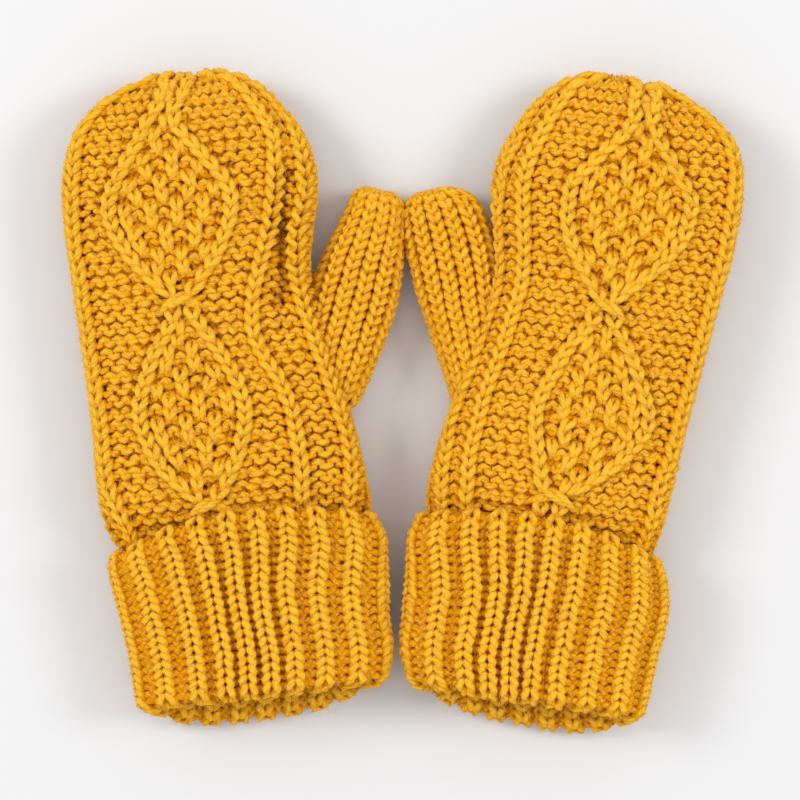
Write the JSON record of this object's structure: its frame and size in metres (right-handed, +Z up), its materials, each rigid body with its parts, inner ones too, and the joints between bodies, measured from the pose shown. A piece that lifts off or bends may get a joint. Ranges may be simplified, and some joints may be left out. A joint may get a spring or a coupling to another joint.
{
  "type": "knitted mittens",
  "caption": "Pair of chunky cable-knit mittens with a gathered crown, separate thumb and deep turned-up ribbed cuff, laid flat palm down side by side.",
  "frame": {"origin": "middle of the pair's outline, on the surface it lies on", "axes": "+Z up from the surface through the backs of the hands, +Y from wrists to fingertips, +X from the left-hand mitten to the right-hand one"},
  "size_m": [0.2758, 0.2684, 0.035],
  "materials": {
    "cable_knit": "mustard chunky yarn in a cable and moss stitch pattern",
    "plain_knit": "mustard chunky yarn in stocking stitch",
    "rib_knit": "mustard chunky yarn in one by one rib",
    "closing_yarn": "mustard yarn, drawn up or linked",
    "fleece_lining": "brushed fleece"
  },
  "bodies": {
    "left_hand": {"left_hand_back": "cable_knit", "left_hand_palm": "plain_knit", "left_side_seam": "closing_yarn", "left_crown_gather": "closing_yarn", "left_hand_lining": "fleece_lining", "left_cuff_inner": "rib_knit"},
    "left_thumb": {"left_thumb": "plain_knit", "left_thumb_lining": "fleece_lining", "left_thumb_gather": "closing_yarn"},
    "left_cuff": {"left_cuff_turnup": "rib_knit"},
    "right_hand": {"right_hand_back": "cable_knit", "right_hand_palm": "plain_knit", "right_side_seam": "closing_yarn", "right_crown_gather": "closing_yarn", "right_hand_lining": "fleece_lining", "right_cuff_inner": "rib_knit"},
    "right_thumb": {"right_thumb": "plain_knit", "right_thumb_lining": "fleece_lining", "right_thumb_gather": "closing_yarn"},
    "right_cuff": {"right_cuff_turnup": "rib_knit"}
  },
  "joints": [
    {"name": "left_thumb_fold", "type": "hinge", "parent": "left_hand", "child": "left_thumb", "pos_m": [-0.03654, 0.0509, 0.0005], "axis": [-1, 0, 0], "range_deg": [0, 90]},
    {"name": "left_cuff_unroll", "type": "slide", "parent": "left_hand", "child": "left_cuff", "axis": [0.1132, -0.9936, 0], "range_m": [0, 0.066]},
    {"name": "right_thumb_fold", "type": "hinge", "parent": "right_hand", "child": "right_thumb", "pos_m": [0.03494, 0.0493, 0.0005], "axis": [-1, 0, 0], "range_deg": [0, 90]},
    {"name": "right_cuff_unroll", "type": "slide", "parent": "right_hand", "child": "right_cuff", "axis": [-0.1478, -0.989, 0], "range_m": [0, 0.066]},
    {"name": "right_mitten_apart", "type": "slide", "parent": "left_hand", "child": "right_hand", "axis": [1, 0, 0], "range_m": [0, 0.1]}
  ]
}
